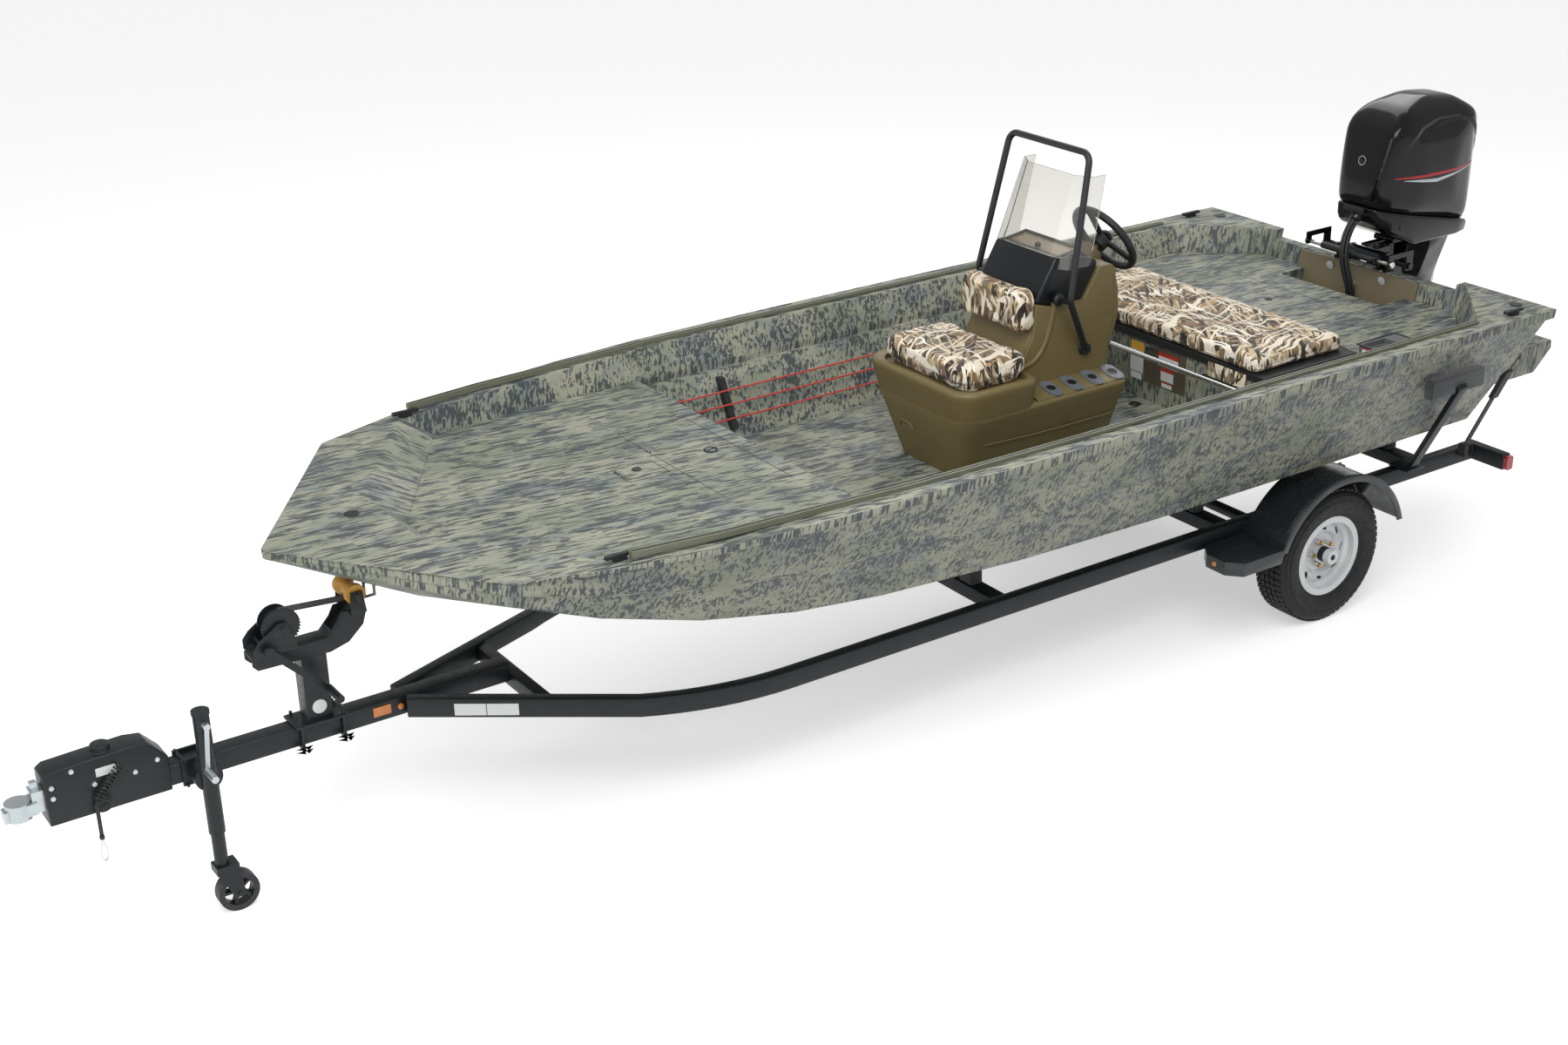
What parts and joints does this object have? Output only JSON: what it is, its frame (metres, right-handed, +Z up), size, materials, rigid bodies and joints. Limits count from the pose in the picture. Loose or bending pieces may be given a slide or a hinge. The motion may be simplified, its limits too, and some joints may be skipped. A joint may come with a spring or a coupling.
{
  "type": "jon boat on trailer",
  "caption": "Flat-bottomed aluminium jon boat with centre console, padded seats and outboard motor, parked on its road trailer with jack and winch.",
  "frame": {"origin": "on the ground under the centre of the overall length and width", "axes": "+X towards the bow and coupler, +Y to port, +Z up"},
  "size_m": [7.27, 2.13, 2.192],
  "materials": {
    "hull_paint": "satin",
    "track_black": "satin",
    "black_plastic": "matte",
    "seat_fabric": "matte",
    "tan_paint": "satin",
    "red_cord": "matte",
    "bright_metal": "polished",
    "console_tan": "satin",
    "pod_black": "satin",
    "grey_plastic": "matte",
    "screen": "clear",
    "black_paint": "satin",
    "motor_black": "gloss",
    "cowl_black": "gloss",
    "hose_rubber": "matte",
    "trailer_paint": "satin",
    "carpet": "matte",
    "wheel_silver": "satin",
    "tyre_rubber": "matte",
    "lamp_red": "gloss",
    "strap_web": "matte",
    "roller_amber": "satin",
    "zinc": "satin"
  },
  "bodies": {
    "boat_on_trailer": {"axle": "trailer_paint", "backrest_cushion": "seat_fabric", "bow_deck": "hull_paint", "brake_actuator": "trailer_paint", "bunks": "carpet", "cleats": "black_plastic", "cockpit_floor": "hull_paint", "console_body": "console_tan", "console_pod": "pod_black", "console_tub": "console_tan", "coupler": "zinc", "cross_bar": "bright_metal", "crossmembers": "trailer_paint", "fenders": "trailer_paint", "frame_rails": "trailer_paint", "grab_rail": "black_paint", "guide_pads": "carpet", "guide_posts": "trailer_paint", "gunwale_tracks": "track_black", "hull": "hull_paint", "jack_bracket": "trailer_paint", "motor_clamp": "motor_black", "port_tray": "black_plastic", "rear_bench": "hull_paint", "rear_deck": "hull_paint", "rigging_hose": "hose_rubber", "rod_holders": "grey_plastic", "rod_lines": "red_cord", "rod_rack": "black_plastic", "seat_cushion": "seat_fabric", "tail_lamps": "lamp_red", "tie_downs": "strap_web", "tongue": "trailer_paint", "transom_plate": "tan_paint", "winch_stand": "trailer_paint", "winch_strap": "strap_web", "windscreen": "screen"},
    "bow_hatch": {"bow_hatch": "hull_paint"},
    "bow_small_hatch": {"bow_small_hatch": "hull_paint"},
    "rear_hatch": {"rear_hatch": "hull_paint"},
    "bench_seat": {"bench_lid": "black_plastic", "bench_cushion": "seat_fabric"},
    "helm": {"steering_wheel": "black_plastic"},
    "motor_tilting": {"motor_swivel": "motor_black", "steering_ram": "bright_metal"},
    "motor_steering": {"motor_leg": "motor_black", "motor_pan": "motor_black", "motor_cowl": "cowl_black"},
    "propeller": {"propeller": "motor_black"},
    "wheel_port": {"wheel_port": "wheel_silver", "tyre_port": "tyre_rubber"},
    "wheel_starboard": {"wheel_starboard": "wheel_silver", "tyre_starboard": "tyre_rubber"},
    "winch_drum": {"winch_drum": "trailer_paint"},
    "winch_crank": {"winch_crank": "trailer_paint"},
    "bow_roller": {"bow_roller": "roller_amber"},
    "jack": {"jack_tube": "trailer_paint"},
    "jack_crank": {"jack_crank": "zinc"},
    "jack_fork": {"jack_fork": "trailer_paint"},
    "jack_wheel": {"jack_wheel": "black_plastic"}
  },
  "joints": [
    {"name": "bow_hatch_hinge", "type": "hinge", "parent": "boat_on_trailer", "child": "bow_hatch", "pos_m": [0.9975, 0, 1.2093], "axis": [0, 1, 0], "range_deg": [0, 95]},
    {"name": "bow_small_hatch_hinge", "type": "hinge", "parent": "boat_on_trailer", "child": "bow_small_hatch", "pos_m": [1.2085, 0, 1.2093], "axis": [0, 1, 0], "range_deg": [0, 95]},
    {"name": "rear_hatch_hinge", "type": "hinge", "parent": "boat_on_trailer", "child": "rear_hatch", "pos_m": [-2.1575, -0.145, 1.2093], "axis": [0, 1, 0], "range_deg": [0, 95]},
    {"name": "bench_seat_hinge", "type": "hinge", "parent": "boat_on_trailer", "child": "bench_seat", "pos_m": [-2.0723, 0, 1.205], "axis": [0, -1, 0], "range_deg": [0, 85]},
    {"name": "helm_turn", "type": "hinge", "parent": "boat_on_trailer", "child": "helm", "pos_m": [-1.215, 0, 1.712], "axis": [-0.848, 0, 0.5299], "continuous": true},
    {"name": "motor_tilt", "type": "hinge", "parent": "boat_on_trailer", "child": "motor_tilting", "pos_m": [-2.895, 0, 1.335], "axis": [0, 1, 0], "range_deg": [0, 60], "deforming": ["rigging_hose"]},
    {"name": "motor_steer", "type": "hinge", "parent": "motor_tilting", "child": "motor_steering", "pos_m": [-3.03, 0, 1.2], "axis": [0, 0, 1], "range_deg": [-30, 30], "deforming": ["rigging_hose"]},
    {"name": "propeller_spin", "type": "hinge", "parent": "motor_steering", "child": "propeller", "pos_m": [-3.505, 0, 0.6], "axis": [1, 0, 0], "continuous": true},
    {"name": "wheel_port_roll", "type": "hinge", "parent": "boat_on_trailer", "child": "wheel_port", "pos_m": [-1.903, 0.7215, 0.313], "axis": [0, 1, 0], "continuous": true},
    {"name": "wheel_starboard_roll", "type": "hinge", "parent": "boat_on_trailer", "child": "wheel_starboard", "pos_m": [-1.903, -0.7215, 0.313], "axis": [0, 1, 0], "continuous": true},
    {"name": "winch_crank_turn", "type": "hinge", "parent": "boat_on_trailer", "child": "winch_crank", "pos_m": [2.685, 0, 0.935], "axis": [0, 1, 0], "continuous": true},
    {"name": "winch_drum_turn", "type": "hinge", "parent": "boat_on_trailer", "child": "winch_drum", "pos_m": [2.616, 0, 0.995], "axis": [0, 1, 0], "continuous": true},
    {"name": "bow_roller_spin", "type": "hinge", "parent": "boat_on_trailer", "child": "bow_roller", "pos_m": [2.339, 0, 1.05], "axis": [0, 1, 0], "continuous": true},
    {"name": "jack_swing", "type": "hinge", "parent": "boat_on_trailer", "child": "jack", "pos_m": [2.965, 0.078, 0.548], "axis": [0, 1, 0], "range_deg": [0, 90]},
    {"name": "jack_crank_turn", "type": "hinge", "parent": "jack", "child": "jack_crank", "pos_m": [2.965, 0.16, 0.77], "axis": [0, 1, 0], "continuous": true},
    {"name": "jack_fork_swivel", "type": "hinge", "parent": "jack", "child": "jack_fork", "pos_m": [2.965, 0.122, 0.19], "axis": [0, 0, 1], "continuous": true},
    {"name": "jack_wheel_roll", "type": "hinge", "parent": "jack_fork", "child": "jack_wheel", "pos_m": [2.923, 0.122, 0.076], "axis": [0, 1, 0], "continuous": true}
  ],
  "couplings": [
    {"joint": "winch_drum_turn", "follows": "winch_crank_turn", "ratio": -0.25}
  ]
}
